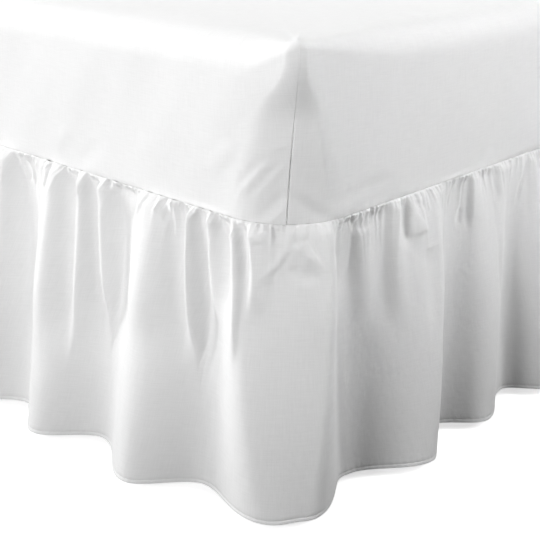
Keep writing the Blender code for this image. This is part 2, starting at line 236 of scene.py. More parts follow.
def long_folds(seam):
    """The long folds along the whole frill in order of place: those above and plain ones elsewhere."""
    rng = np.random.default_rng(LONG_SEED)
    rows = list(LONG_FOLDS)
    low, high = frill_ends(seam)
    for first, last in ((low, LONG_FOLDS[0][0] - PLAIN_GAP), (LONG_FOLDS[-1][0] + PLAIN_GAP, high)):
        place, sign = first, 1.0
        while place < last:
            drift = rng.uniform(-PLAIN_DRIFT, PLAIN_DRIFT)
            height = sign * rng.uniform(*PLAIN_HEIGHT)
            rows.append((place, place + 0.6 * drift, place + drift, 0.0, rng.uniform(*PLAIN_ENDS), height))
            place, sign = place + rng.uniform(*PLAIN_PITCH), -sign
    return np.array(sorted(rows))


def long_offset(s, down, lines):
    """The long folds' relief: between neighbouring lines a cosine ease from one height to the next."""
    out = np.zeros(np.broadcast_shapes(s.shape, down.shape))
    starts, ends, height = lines[:, 3:].T
    for row, fall in enumerate(down[:, 0]):
        places = through(*lines[:, :3].T, np.clip(fall / ends, 0.0, 1.1))
        places = np.maximum.accumulate(places) + LONG_ROOM * np.arange(len(places))
        fades = eased((ends - fall) / (LONG_FADES[0] * ends) + LONG_FADES[1])
        size = height * eased((fall - starts) / LONG_RISES) * fades
        left = np.clip(np.searchsorted(places, s[0]) - 1, 0, len(places) - 2)
        share = np.clip((s[0] - places[left]) / (places[left + 1] - places[left]), 0.0, 1.0)
        out[row] = size[left] + (size[left + 1] - size[left]) * eased(share)
    return out


# Creases near the seam. Each is a parabola through three points, as places along the seam and
# metres below it by turns, then its half width and height in metres. A height below 0 is a hollow.
CREASES = (
    (-0.602, 0.003, -0.581, 0.025, -0.566, 0.048, 0.0032, 0.0030),
    (-0.588, 0.005, -0.569, 0.023, -0.558, 0.042, 0.0039, -0.0034),
    (-0.576, 0.004, -0.559, 0.021, -0.550, 0.041, 0.0032, 0.0030),
    (-0.560, 0.006, -0.551, 0.023, -0.541, 0.050, 0.0035, -0.0031),
    (-0.543, 0.006, -0.531, 0.036, -0.524, 0.070, 0.0053, 0.0038),
    (-0.514, 0.007, -0.510, 0.044, -0.511, 0.083, 0.0053, -0.0038),
    (-0.507, 0.000, -0.492, 0.014, -0.489, 0.035, 0.0053, 0.0038),
    (-0.501, 0.000, -0.488, 0.008, -0.481, 0.018, 0.0022, -0.0025),
    (-0.469, 0.000, -0.454, 0.008, -0.439, 0.023, 0.0062, -0.0043),
    (-0.431, 0.004, -0.423, 0.017, -0.415, 0.031, 0.0045, -0.0035),
    (-0.439, 0.004, -0.433, 0.012, -0.428, 0.024, 0.0022, 0.0025),
    (-0.421, 0.003, -0.411, 0.015, -0.403, 0.033, 0.0027, 0.0026),
    (-0.403, 0.002, -0.396, 0.015, -0.390, 0.038, 0.0053, -0.0038),
    (-0.384, 0.003, -0.382, 0.013, -0.382, 0.022, 0.0022, 0.0025),
    (-0.373, 0.006, -0.370, 0.023, -0.364, 0.043, 0.0053, -0.0038),
    (-0.353, 0.000, -0.345, 0.009, -0.337, 0.029, 0.0053, -0.0038),
    (-0.332, 0.000, -0.325, 0.011, -0.324, 0.023, 0.0022, 0.0025),
    (-0.323, 0.000, -0.319, 0.006, -0.314, 0.015, 0.0028, -0.0026),
    (-0.309, 0.002, -0.312, 0.014, -0.313, 0.045, 0.0027, 0.0026),
    (-0.285, 0.001, -0.285, 0.020, -0.302, 0.051, 0.0053, -0.0038),
    (-0.254, 0.003, -0.259, 0.017, -0.266, 0.033, 0.0053, 0.0038),
    (-0.261, 0.008, -0.262, 0.012, -0.262, 0.016, 0.0027, -0.0026),
    (-0.264, 0.032, -0.257, 0.050, -0.252, 0.069, 0.0022, -0.0025),
    (-0.230, 0.003, -0.222, 0.009, -0.223, 0.017, 0.0027, 0.0026),
    (-0.220, 0.002, -0.209, 0.009, -0.200, 0.027, 0.0053, -0.0038),
    (-0.203, 0.001, -0.192, 0.017, -0.183, 0.048, 0.0035, 0.0031),
    (-0.187, 0.001, -0.177, 0.012, -0.171, 0.035, 0.0053, -0.0038),
    (-0.141, 0.000, -0.135, 0.005, -0.128, 0.010, 0.0022, 0.0025),
    (-0.125, 0.000, -0.126, 0.007, -0.127, 0.014, 0.0022, 0.0025),
    (-0.114, 0.001, -0.109, 0.011, -0.106, 0.025, 0.0053, -0.0038),
    (-0.103, 0.002, -0.091, 0.015, -0.079, 0.025, 0.0022, 0.0025),
    (-0.079, 0.003, -0.076, 0.013, -0.077, 0.027, 0.0025, 0.0025),
    (-0.069, 0.005, -0.064, 0.019, -0.059, 0.038, 0.0046, -0.0036),
    (-0.021, 0.005, -0.020, 0.010, -0.020, 0.014, 0.0022, -0.0021),
    (-0.013, 0.007, -0.014, 0.013, -0.015, 0.022, 0.0053, -0.0032),
    (-0.001, 0.002, -0.005, 0.033, -0.029, 0.066, 0.0046, 0.0026),
    (0.003, 0.003, 0.006, 0.022, 0.012, 0.036, 0.0034, 0.0013),
    (0.015, 0.003, 0.017, 0.030, 0.027, 0.046, 0.0034, 0.0014),
    (0.073, 0.003, 0.064, 0.011, 0.055, 0.020, 0.0022, 0.0015),
    (0.087, 0.002, 0.076, 0.010, 0.062, 0.019, 0.0022, 0.0015),
    (0.115, 0.002, 0.107, 0.009, 0.101, 0.022, 0.0025, 0.0015),
    (0.134, 0.002, 0.125, 0.008, 0.117, 0.017, 0.0025, 0.0015),
    (0.144, 0.001, 0.141, 0.007, 0.136, 0.015, 0.0045, -0.0021),
    (0.145, 0.004, 0.147, 0.008, 0.150, 0.012, 0.0022, 0.0015),
    (0.170, 0.004, 0.164, 0.010, 0.160, 0.024, 0.0049, -0.0022),
    (0.225, 0.014, 0.218, 0.036, 0.215, 0.058, 0.0053, 0.0023),
    (0.234, 0.008, 0.238, 0.016, 0.254, 0.017, 0.0053, -0.0023),
    (0.264, 0.006, 0.263, 0.014, 0.263, 0.031, 0.0025, 0.0015),
    (0.314, 0.001, 0.303, 0.017, 0.304, 0.041, 0.0022, -0.0015),
    (0.345, 0.002, 0.332, 0.020, 0.326, 0.041, 0.0032, -0.0018),
    (0.364, 0.053, 0.360, 0.062, 0.355, 0.075, 0.0053, -0.0023),
    (0.555, 0.002, 0.531, 0.040, 0.515, 0.075, 0.0035, -0.0019),
    (0.426, 0.000, 0.417, 0.010, 0.414, 0.031, 0.0053, -0.0023),
    (0.458, 0.006, 0.457, 0.024, 0.464, 0.051, 0.0070, 0.0028),
    (-0.034, 0.080, -0.023, 0.080, -0.012, 0.076, 0.0100, -0.0014),
    (0.004, 0.052, 0.015, 0.064, 0.034, 0.062, 0.0100, -0.0022),
    (0.234, 0.024, 0.234, 0.042, 0.234, 0.058, 0.0168, 0.0025),
    (0.070, 0.010, 0.066, 0.030, 0.064, 0.056, 0.0112, -0.0045),
    (0.218, 0.030, 0.228, 0.040, 0.240, 0.034, 0.0260, 0.0032),
    (0.012, 0.022, 0.018, 0.030, 0.028, 0.028, 0.0240, 0.0036),
    (-0.040, 0.010, -0.038, 0.016, -0.036, 0.022, 0.0090, 0.0026),
)
CREASE_STEPS = np.linspace(0.0, 1.0, 49)     # shares of a crease's length at which it is read
# How fast a crease's height eases in and out, and how far that has come at its first and last point.
CREASE_FADES = (4.0, 0.4, 0.3)
BUMP_REACH = 1.7                 # how many half widths a crease or a drag reaches to either side


def crease_offset(s, down):
    """The creases: a cosine bump across the nearest of each parabola's points, less at its two ends."""
    out = np.zeros(np.broadcast_shapes(s.shape, down.shape))
    pace, kept_first, kept_last = CREASE_FADES
    for row in CREASES:
        path_s, path_down = through(*row[0:6:2], CREASE_STEPS), through(*row[1:6:2], CREASE_STEPS)
        half_width, height = row[6:]
        reach = BUMP_REACH * half_width
        columns = np.flatnonzero((s[0] > path_s.min() - reach) & (s[0] < path_s.max() + reach))
        rows = np.flatnonzero((down[:, 0] > path_down.min() - reach)
                              & (down[:, 0] < path_down.max() + reach))
        if not len(columns) or not len(rows):
            continue
        away = np.hypot(s[:, columns, None] - path_s, down[rows][:, :, None] - path_down)
        nearest = CREASE_STEPS[away.argmin(2)]
        ends = eased(pace * nearest + kept_first) * eased(pace * (1.0 - nearest) + kept_last)
        out[np.ix_(rows, columns)] += height * ends * (1.0 - eased(away.min(2) / reach))
    return out


# Gathers at the seam, coarse to fine: mean pitch, height, how far down they die away, in metres,
# and the share of the height that they lose where the creases above are placed.
GATHERS = (
    (0.0300, 0.0075, 0.036, 0.70),
    (0.0150, 0.0060, 0.018, 0.25),
    (0.0066, 0.0042, 0.0070, 0.0),
)
CREASED = (0.58, 0.70)           # metres from the arranged corner: the loss is whole, and it is gone
GATHER_SEED = 18
# The gathers' common lean: metres along for each metre down, wave length along the seam, starting angle.
GATHER_LEANS = ((0.22, 0.173, 1.0), (0.12, 0.061, 0.0))
GATHER_PITCHES = (0.55, 1.45)    # least and most of the mean pitch
GATHER_SIZES = (0.30, 1.0)       # least and most of the height
GATHER_LENGTHS = (0.5, 1.6)      # least and most of the length
VALLEY_ROUNDING = 0.015          # rounds the sharp bottom between two gathers
VALLEY_TOP = 1.0075              # the root of 1 and that rounding
PUFF_MIDDLE = 0.62               # taken off a puff, so that the puffs swing about the cloth
GATHER_STARTS = (0.35, 0.0022)   # a gather rises over this share of its pitch, or this many metres if less


def gather_offset(s, down, seam, first, last):
    """Gathers below the seam, of the sizes from first up to last: ridges at an uneven pitch.

    A ridge is one less the root of its squared sine; the finest are puffs, the root itself. Each has
    its own height and length. All start at nothing on the seam, lean together a little and die away
    as exp(-down / length).
    """
    low, high = frill_ends(seam)
    out = np.zeros(np.broadcast_shapes(s.shape, down.shape))
    lean = sum(slope * np.sin(2 * np.pi * s / wave + angle) for slope, wave, angle in GATHER_LEANS)
    for number in range(first, last):
        pitch, height, length, lost = GATHERS[number]
        rng = np.random.default_rng(GATHER_SEED + number)
        count = int((high - low) / pitch) + 12
        edges = low - 3 * pitch + np.cumsum(pitch * rng.uniform(*GATHER_PITCHES, count))
        index = np.interp(s + lean * down, edges, np.arange(count))
        puffed = number == len(GATHERS) - 1
        which = (np.floor(index) if puffed else np.round(index)).astype(int)
        size = rng.uniform(*GATHER_SIZES, count + 1)[which]
        reach = length * rng.uniform(*GATHER_LENGTHS, count + 1)[which]
        valley = np.sqrt(np.sin(np.pi * index) ** 2 + VALLEY_ROUNDING) / VALLEY_TOP
        ridge = valley - PUFF_MIDDLE if puffed else 1.0 - valley
        plain = eased((np.abs(s) - CREASED[0]) / (CREASED[1] - CREASED[0]))
        size = size * (1.0 - lost * (1.0 - plain))
        starts = min(GATHER_STARTS[0] * pitch, GATHER_STARTS[1])
        out += height * size * ridge * np.exp(-down / reach) * eased(down / starts)
    return out


STEPS_OUT = (0.0008, 0.010)      # the frill's step out below the seam, and the drop that it takes
TUCKS_IN = (0.0004, 0.003)       # how far in it starts, behind the sheet's edge, and the drop that it takes
INNERMOST = -0.004               # what reaches further in than this behind the seam's plan
HELD_BACK = 0.2                  # is held back to this share of the rest
FRILL_BELOW = 0.0002             # the frill's upper edge below the sheet's lower one


def frill_points(s, down, seam, folds):
    """The frill's outer face for a grid of seam places s (columns) and cloth lengths down (rows).

    A point is the seam's plan point plus its normal times the folds, creases and gathers, at the
    seam level less the drop. The cloth starts just inside the sheet's lower edge.
    """
    v = down / DROP
    out = frill_offset(s, v, folds) + gather_offset(s, down, seam, 0, 2) + crease_offset(s, down)
    out += long_offset(s, down, long_folds(seam)) + STEPS_OUT[0] * eased(down / STEPS_OUT[1])
    out = np.maximum(out, INNERMOST + HELD_BACK * (out - INNERMOST))
    out = out - TUCKS_IN[0] * (1.0 - eased(down / TUCKS_IN[1]))
    out += gather_offset(s, down, seam, 2, 3)
    inner, normal = seam.at(s)
    plan = inner + normal * (seam.radius + out)[..., None]
    level = np.broadcast_to(SEAM_LEVEL - FRILL_BELOW - down, out.shape)
    return np.concatenate([plan, level[..., None]], -1)


# ---------------------------------------------------------------- meshes

SPACING_READS = 6001             # places at which the spacing is added up


def spaced(first, last, near, fine, coarse, blend):
    """Places from first to last, fine apart within near of zero and coarse apart beyond, over a blend."""
    s = np.linspace(first, last, SPACING_READS)
    step = fine + (coarse - fine) * eased((np.abs(s) - near) / blend)
    count = np.concatenate([[0.0], np.cumsum(np.diff(s) / ((step[1:] + step[:-1]) / 2))])
    return np.interp(np.linspace(0.0, count[-1], int(round(count[-1])) + 1), count, s)


def mesh_object(name, points, faces, material, uv=None, cap=()):
    """A mesh from arrays of points and quads and one many-sided cap, placed by its points alone."""
    mesh = bpy.data.meshes.new(name)
    mesh.vertices.add(len(points))
    mesh.vertices.foreach_set("co", np.asarray(points, np.float32).ravel())
    loops = np.concatenate([faces.ravel(), cap]).astype(np.int32)
    starts = np.arange(0, faces.size + (len(cap) > 0), faces.shape[1], dtype=np.int32)
    mesh.loops.add(len(loops))
    mesh.loops.foreach_set("vertex_index", loops)
    mesh.polygons.add(len(starts))
    mesh.polygons.foreach_set("loop_start", starts)
    mesh.update(calc_edges=True)
    if uv is not None:
        layer = mesh.uv_layers.new(name="cloth")
        layer.data.foreach_set("uv", np.asarray(uv, np.float32).ravel())
    mesh.shade_smooth()
    mesh.materials.append(material)
    item = bpy.data.objects.new(name, mesh)
    bpy.context.scene.collection.objects.link(item)
    return item


def grid_faces(rows, columns):
    """Quads of a grid whose rows run down and whose columns run anticlockwise seen from above."""
    corner = (np.arange(rows - 1)[:, None] * columns + np.arange(columns - 1)[None, :]).ravel()
    return np.stack([corner, corner + columns, corner + columns + 1, corner + 1], -1)


# ---------------------------------------------------------------- sheet

SHEET_CORNERS = (SEAM_CORNER, 0.062, 0.020)  # its corners' plan radius at the seam, higher up and at the top
EDGE_ROLL = 0.045                # radius of the soft edge round the top panel
DART_ROLL = 0.012                # the same where a dart ends
DART_SPREAD = (0.090, 0.260)     # how far before and after a dart the edge takes to soften
ROUNDS_BY = 0.85                 # the share of the height by which a corner has the second radius
SHARPENS = (0.60, 0.97)          # the shares of the height between which it comes to the third
# The dart's place from the arranged corner's middle, by share of the height.
DART_PATH = ((0.0, -0.004), (0.18, -0.002), (0.34, 0.0), (0.50, 0.002), (0.67, 0.003), (1.0, 0.003))
DART_PATH_REACH = 0.09           # how far from that corner the cloth follows its dart
TWIST = (0.005, 0.003)           # how far the top of the arranged corner is pulled towards +X and +Y
TWIST_REACH = 0.10               # how far along from the corner that pull reaches
TWIST_RISES = (0.35, 0.6)        # the share of the height where it starts, and over how much it grows
EAR = 0.0040                     # how high the ear stands at the top of a dart
EAR_REACH = (0.030, 0.055)       # how far the ear's rise reaches before and after its dart
EAR_POWERS = (1.6, 1.25)         # how steeply it falls away before and after its dart
EAR_RISES = (0.6, 0.4)           # the share of the height where it starts, and over how much it grows
# A dart's relief. Each width, or height up the sheet for the hollow, is the distance over which a
# form falls to about a third. FADES are the share of the sheet's height where a form starts to
# fade, and the share over which it does.
RIDGE_HEIGHT, RIDGE_WIDTH = 0.0012, 0.016
LAP_HEIGHT, LAP_LOSES, LAP_FADES = 0.0012, 0.8, (0.30, 0.45)
GROOVE_LEAST, GROOVE_MORE, GROOVE_FADES = 0.0003, 0.0005, (0.35, 0.40)
GROOVE_PLACE, GROOVE_WIDTH = 0.0008, 0.0010
HOLLOW_DEPTH, HOLLOW_PLACE, HOLLOW_WIDTH = 0.0036, -0.008, 0.030
HOLLOW_UP, HOLLOW_TALL = 0.66, 0.15
PUCKER_HEIGHT, PUCKER_PITCH, PUCKER_WIDTH, PUCKER_SWAY = 0.0004, 0.013, 0.008, 170
# The lower edge: scallops along it, and the edge's own turn in. Each dies away upwards.
SCALLOP_HEIGHT, SCALLOP_PITCH, SCALLOP_TALL, SCALLOP_SWAY = 0.0003, 0.024, 0.004, (2, 41)
EDGE_IN, EDGE_IN_TALL = 0.0006, 0.0010
RELIEF_STARTS = 0.008            # the height above the seam by which drags and swells are full
# Drags across the sides by the arranged corner: soft ridges from one place to another. Each row has
# metres along the wall from its corner and metres above the seam at the first place, the same at the
# second, the half width and the height. A height below 0 is a hollow.
DRAGS = (
    (-0.092, 0.048, -0.050, 0.088, 0.0040, -0.0012),
    (-0.086, 0.036, -0.030, 0.089, 0.0042, 0.0015),
    (-0.070, 0.036, -0.022, 0.080, 0.0034, -0.0012),
    (-0.060, 0.030, -0.008, 0.082, 0.0042, 0.0015),
    (-0.050, 0.004, -0.004, 0.044, 0.0090, -0.0024),
    (-0.034, 0.000, -0.004, 0.022, 0.0040, 0.0010),
    (-0.036, 0.124, -0.002, 0.134, 0.0040, -0.0007),
    (-0.034, 0.100, -0.004, 0.112, 0.0040, 0.0007),
    (-0.150, 0.060, -0.100, 0.100, 0.0120, 0.0009),
    (0.002, 0.044, 0.066, 0.000, 0.0080, -0.0016),
    (0.016, 0.052, 0.080, 0.010, 0.0080, 0.0008),
    (0.080, 0.024, 0.196, 0.036, 0.0090, -0.0010),
    (0.110, 0.044, 0.220, 0.052, 0.0120, 0.0007),
    (0.190, 0.088, 0.250, 0.100, 0.0110, -0.0006),
    (-0.520, 0.020, -0.470, 0.060, 0.0120, 0.0010),
    (-0.440, 0.015, -0.390, 0.050, 0.0120, -0.0010),
    (0.470, 0.040, 0.500, 0.150, 0.0120, -0.0010),
)
DRAG_FADES = (2.5, 0.4)          # how fast a drag eases in and out, and how far that has come at its ends
# Swells of the whole sheet: waves per metre along it and up it, a starting angle and a height.
SWELLS = (
    (1.9, 2.3, 0.4, 0.0010),
    (3.3, -4.1, 2.1, 0.0007),
    (6.1, 3.7, 4.0, 0.0004),
    (9.7, -5.3, 1.2, 0.0003),
)
# Rows of the sheet's grid: shares of the wall's height, steps round the edge, and shares of the way
# in to the middle.
WALL_ROWS = (0.0, 0.0035, 0.008, *np.linspace(0.017, 0.53, 36, endpoint=False), *np.linspace(0.53, 1.0, 20))
EDGE_STEPS = 11
PANEL_ROWS = (0.005, 0.013, 0.024, 0.038, 0.054, 0.070, 0.088, 0.106, 0.125, 0.16, 0.22, 0.32, 0.48, 0.66,
              0.84, 0.95)
PANEL_CORNER = 0.090             # plan radius of the plain outline that the top panel's rings settle to
PANEL_SETTLES = 0.12             # the share of the way in by which they have
PANEL_LEVELS = 0.07              # the share of the way in by which the ear is gone from them
CROWN = 0.0055                   # the panel's rise from its edge to its middle
# A slow wave on the panel: height, rate and starting angle along X, rate along Y, and the share of
# the half width over which it grows from the edge.
PANEL_WAVE = (0.0006, 9, 2, 7, 0.15)
# Columns of the sheet's grid: shares of the way to a dart. Then those of a side that leaves the
# arranged corner: the share of the side, and how many columns, close to it, near it and beyond.
TO_DART = (0.0, 0.08, 0.16, 0.25, 0.34, 0.43, 0.52, 0.60, 0.68, 0.75, 0.81, 0.86, 0.90, 0.93, 0.952, 0.968,
           0.98, 0.989, 0.995)
LEAVING = ((0.06, 42), (0.34, 70), (0.66, 70))
HEAD_COLUMNS = 90


def drag_offset(place, up):
    """Drags: for each row a cosine bump across the line between its two places, eased out at both ends."""
    out = np.zeros(place.shape)
    pace, kept = DRAG_FADES
    for from_s, from_up, to_s, to_up, half_width, height in DRAGS:
        ds, du = to_s - from_s, to_up - from_up
        along = ((place - from_s) * ds + (up - from_up) * du) / (ds * ds + du * du)
        across = np.abs((place - from_s) * du - (up - from_up) * ds) / math.hypot(ds, du)
        ends = eased(along * pace + kept) * eased((1 - along) * pace + kept)
        out += height * (1.0 - eased(across / (BUMP_REACH * half_width))) * ends
    return out


def swell_offset(place, up):
    """Swells: the sum of each row's height times the sine of its waves along and up, plus its angle."""
    return sum(height * np.sin(2 * math.pi * (along * place + rise * up) + angle)
               for along, rise, angle, height in SWELLS)


def sheet_columns():
    """Each column's stretch of the outline, its share of that stretch, and the wall it starts (0 to 3).

    The stretches are those of RoundedPlan. Columns crowd towards the darts and, along two sides,
    towards the arranged corner, where the last of a side's columns are spaced by a sine.
    """
    to_dart = np.array(TO_DART)
    from_dart = np.concatenate([[0.0], 1.0 - to_dart[:0:-1]])
    whole = np.concatenate([to_dart / 2, 0.5 + from_dart / 2])
    (close, close_count), (near, near_count), (rest, rest_count) = LEAVING
    leaving = np.concatenate([np.linspace(0, close, close_count, endpoint=False),
                              np.linspace(close, near, near_count, endpoint=False),
                              near + rest * np.sin(np.linspace(0, math.pi / 2, rest_count, endpoint=False))])
    coming = np.concatenate([[0.0], 1.0 - leaving[:0:-1]])
    even = 0.5 - 0.5 * np.cos(np.linspace(0, math.pi, HEAD_COLUMNS, endpoint=False))
    parts = [from_dart, leaving, whole, even, whole, even, whole, coming, to_dart]
    stretch = np.concatenate([np.full(len(part), number) for number, part in enumerate(parts)])
    share = np.concatenate(parts)
    wall = (np.array([0, 0, 0, 1, 1, 2, 2, 3, 3])[stretch]
            + ((share >= 0.5) & np.isin(stretch, (2, 4, 6)))) % 4
    return stretch, share, wall


def from_corner(s, plan):
    """Metres along the walls from the arranged corner, as if it were sharp: below 0 to the left."""
    signed = np.where(s > plan.length / 2, s - plan.length, s)
    reach = plan.arc / 2
    return signed + (plan.radius - reach) * np.clip(signed / reach, -1.0, 1.0)


def from_dart(s, plan):
    """Metres along the outline from the nearest corner's middle, below 0 before it."""
    darts = np.array([0.0, *(plan.stops[k] + plan.arc / 2 for k in (2, 4, 6)), plan.length])
    away = s[:, None] - darts
    return np.take_along_axis(away, np.abs(away).argmin(1)[:, None], 1)[:, 0]


def unfolded(points, wall, roll, hang, panel):
    """The flat cloth's x and y: on a wall, metres beyond the panel's own edge; on the panel, its plan."""
    sign = np.where(wall < 2, 1.0, -1.0)
    half = SEAM_HALF[wall % 2]
    edge = sign * (half - roll + hang)
    across = [np.where(~panel & (wall % 2 == axis), edge, points[..., axis]) for axis in (0, 1)]
    return np.stack(across, -1)


def column_places(plan, stretch, share):
    """Each column's place s along a plan, from its stretch and its share of that stretch."""
    return plan.stops[stretch] + share * (plan.stops[stretch + 1] - plan.stops[stretch])


def dart_offset(dart, share_up, up):
    """A dart's relief at metres before (below 0) and after it: ridge, groove, hollow and puckers.

    The ridge, higher by a lap before the dart, and the puckers fall off as exp(-distance / width).
    The stitched groove and the hollow are bells, exp of minus a square.
    """
    lap = LAP_HEIGHT * (1.0 - LAP_LOSES * float(eased((share_up - LAP_FADES[0]) / LAP_FADES[1])))
    ridge = (RIDGE_HEIGHT + np.where(dart < 0, lap, 0.0)) * np.exp(-np.abs(dart) / RIDGE_WIDTH)
    groove_left = 1.0 - float(eased((share_up - GROOVE_FADES[0]) / GROOVE_FADES[1]))
    groove = GROOVE_LEAST + GROOVE_MORE * groove_left
    ridge -= groove * np.exp(-((dart - GROOVE_PLACE) / GROOVE_WIDTH) ** 2)
    ridge -= HOLLOW_DEPTH * np.exp(-((dart - HOLLOW_PLACE) / HOLLOW_WIDTH) ** 2
                                   - ((share_up - HOLLOW_UP) / HOLLOW_TALL) ** 2)
    swaying = 2 * math.pi * up / PUCKER_PITCH + np.sin(up * PUCKER_SWAY)
    return ridge + PUCKER_HEIGHT * np.sin(swaying) * np.exp(-np.abs(dart) / PUCKER_WIDTH)


def edge_offset(place, up):
    """The lower edge's relief: scallops, a sine of uneven pitch, less the turn in at the very edge."""
    swaying = 2 * math.pi * place / SCALLOP_PITCH + SCALLOP_SWAY[0] * np.sin(place * SCALLOP_SWAY[1])
    scallop = SCALLOP_HEIGHT * np.sin(swaying) * np.exp(-up / SCALLOP_TALL)
    return scallop - EDGE_IN * np.exp(-up / EDGE_IN_TALL)


def panel_rings(rim, outline):
    """The top panel's rings: the rim drawn in towards the middle, settling to a plain outline.

    The crown is the product over X and Y of one less the cube of one less the room, which is the
    share of the half width left to the edge. A slow wave, a sine in X times a sine in Y, is added.
    """
    rings = []
    settle = outline - rim[:, :2]
    height, rate_x, angle, rate_y, grows = PANEL_WAVE
    for share_in in PANEL_ROWS:
        ring = rim.copy()
        ring[:, :2] += settle * eased(share_in / PANEL_SETTLES)
        ring *= 1.0 - share_in
        room = 1.0 - np.abs(ring[:, :2] / SEAM_HALF)
        hump = np.prod(1.0 - (1.0 - room) ** 3, axis=1)
        wave = np.sin(rate_x * ring[:, 0] + angle) * np.sin(rate_y * ring[:, 1])
        wave = wave * np.prod(eased(room / grows), axis=1)
        ring[:, 2] = TOP_LEVEL + (rim[:, 2] - TOP_LEVEL) * (1.0 - eased(share_in / PANEL_LEVELS))
        ring[:, 2] += CROWN * hump + height * wave
        rings.append(ring)
    return rings


def make_sheet(material):
    """The fitted sheet: rings up its sides, over the edge and in across the top to a point.

    A corner's plan radius shrinks in an ease over the upper half. The edge is a quarter turn that
    tightens at the darts, where an ear of cloth stands up. Each dart is a ridge with a groove in it.
    """
    stretch, share, wall = sheet_columns()
    depth = TOP_LEVEL - SEAM_LEVEL
    top = RoundedPlan(SEAM_HALF, SHEET_CORNERS[2])
    at_top = from_dart(column_places(top, stretch, share), top)
    soft_by = np.where(at_top < 0, *DART_SPREAD)
    roll = EDGE_ROLL + (DART_ROLL - EDGE_ROLL) * (1.0 - eased(np.abs(at_top) / soft_by))
    ear = 1.0 - np.clip(np.abs(at_top) / np.where(at_top < 0, *EAR_REACH), 0.0, 1.0)
    ear = ear ** np.where(at_top < 0, *EAR_POWERS)
    quarter = math.pi / 2
    places = [(k, 0.0) for k in WALL_ROWS]
    places += [(1.0, quarter * k / EDGE_STEPS) for k in range(1, EDGE_STEPS + 1)]
    rings, hangs = [], []
    for share_up, turn in places:
        up = share_up * (depth - roll)
        rise = (up + roll * np.sin(turn)) / depth
        sharpness = (eased(share_up / ROUNDS_BY),
                     eased((share_up - SHARPENS[0]) / (SHARPENS[1] - SHARPENS[0])))
        plan = RoundedPlan(SEAM_HALF, SHEET_CORNERS[0] + float(np.dot(np.diff(SHEET_CORNERS), sharpness)))
        s = column_places(plan, stretch, share)
        place, dart = from_corner(s, plan), from_dart(s, plan)
        s = s + np.interp(rise, *zip(*DART_PATH)) * (1.0 - eased(np.abs(place) / DART_PATH_REACH))
        inner, normal = plan.at(s)
        soft = (drag_offset(place, up) + swell_offset(place, up)) * eased(up / RELIEF_STARTS)
        relief = (dart_offset(dart, share_up, up) + soft) * math.cos(turn) ** 2
        out = plan.radius - roll * (1.0 - math.cos(turn)) + relief + edge_offset(place, up)
        level = SEAM_LEVEL + up + roll * np.sin(turn)
        level = level + EAR * ear * eased((rise - EAR_RISES[0]) / EAR_RISES[1])
        twist = (1.0 - eased(np.abs(place) / TWIST_REACH)) * eased((rise - TWIST_RISES[0]) / TWIST_RISES[1])
        plan_points = inner + normal * out[:, None] + twist[:, None] * TWIST
        rings.append(np.column_stack([plan_points, level]))
        hangs.append(depth - roll - up + roll * (quarter - turn))
    plain = RoundedPlan(SEAM_HALF, PANEL_CORNER)
    inner, normal = plain.at(column_places(plain, stretch, share))
    rings += panel_rings(rings[-1], inner + normal * (PANEL_CORNER - EDGE_ROLL))
    hangs += [np.zeros(len(stretch))] * len(PANEL_ROWS)
    points = np.stack(rings)
    rows, columns = points.shape[:2]
    index = np.arange(rows * columns).reshape(rows, columns)
    after = np.roll(index, -1, axis=1)
    quads = np.stack([index[:-1], after[:-1], after[1:], index[1:]], -1).reshape(-1, 4)
    hang, panel = np.stack(hangs), np.arange(rows)[:, None] >= len(places)
    starting = unfolded(points, wall, roll, hang, panel)
    ending = np.roll(unfolded(points, np.roll(wall, 1), roll, hang, panel), -1, axis=1)
    uv = np.stack([starting[:-1], ending[:-1], ending[1:], starting[1:]], 2).reshape(-1, 2)
    uv = np.concatenate([uv, points[-1, :, :2]])
    points[..., :2] += MIDDLE[:2]
    sheet = mesh_object("valance_sheet", points.reshape(-1, 3), quads, material, uv, cap=index[-1])
    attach(sheet, "root")
    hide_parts("fitted_sheet")
    return sheet


# ---------------------------------------------------------------- frill

HEM_DEPTH = 0.0050               # the hem's stitch line above the hem
FRILL_ROWS = (0.0, 0.0008, 0.0017, 0.0027, 0.0038, 0.0050, 0.0064, 0.0080, 0.0098, 0.0118,
              *np.linspace(0.014, 0.083, 23, endpoint=False), *np.linspace(0.083, 0.200, 14, endpoint=False),
              *np.linspace(0.200, 0.370, 9, endpoint=False), 0.370, 0.380, 0.3840, 0.3846, 0.3850, 0.3854,
              0.3862, 0.3878, 0.3892, 0.3898)
# The hem's turn under its edge and up the back: metres down from the seam and metres in.
HEM_TURN = ((0.3900, 0.0003), (0.3900, 0.0009), (0.3896, 0.0012), (0.3850, 0.0014))
# The stitch line: puckers along it, the groove that it makes, and the hem's step out below it.
HEM_PUCKER, HEM_PUCKER_PITCH, HEM_PUCKER_WIDTH = 0.00025, 0.0085, 0.004
HEM_GROOVE, HEM_GROOVE_WIDTH = 0.0005, 0.0006
HEM_STEP, HEM_STEP_WIDTH = 0.0004, 0.0015
# The frill's columns: fine within so far of the arranged corner, the fine and the coarse step, and
# the distance over which one goes over into the other.
FRILL_COLUMNS = (0.58, 0.00150, 0.0066, 0.18)
FULLNESS = 1.30                  # metres of frill cloth to a metre of seam


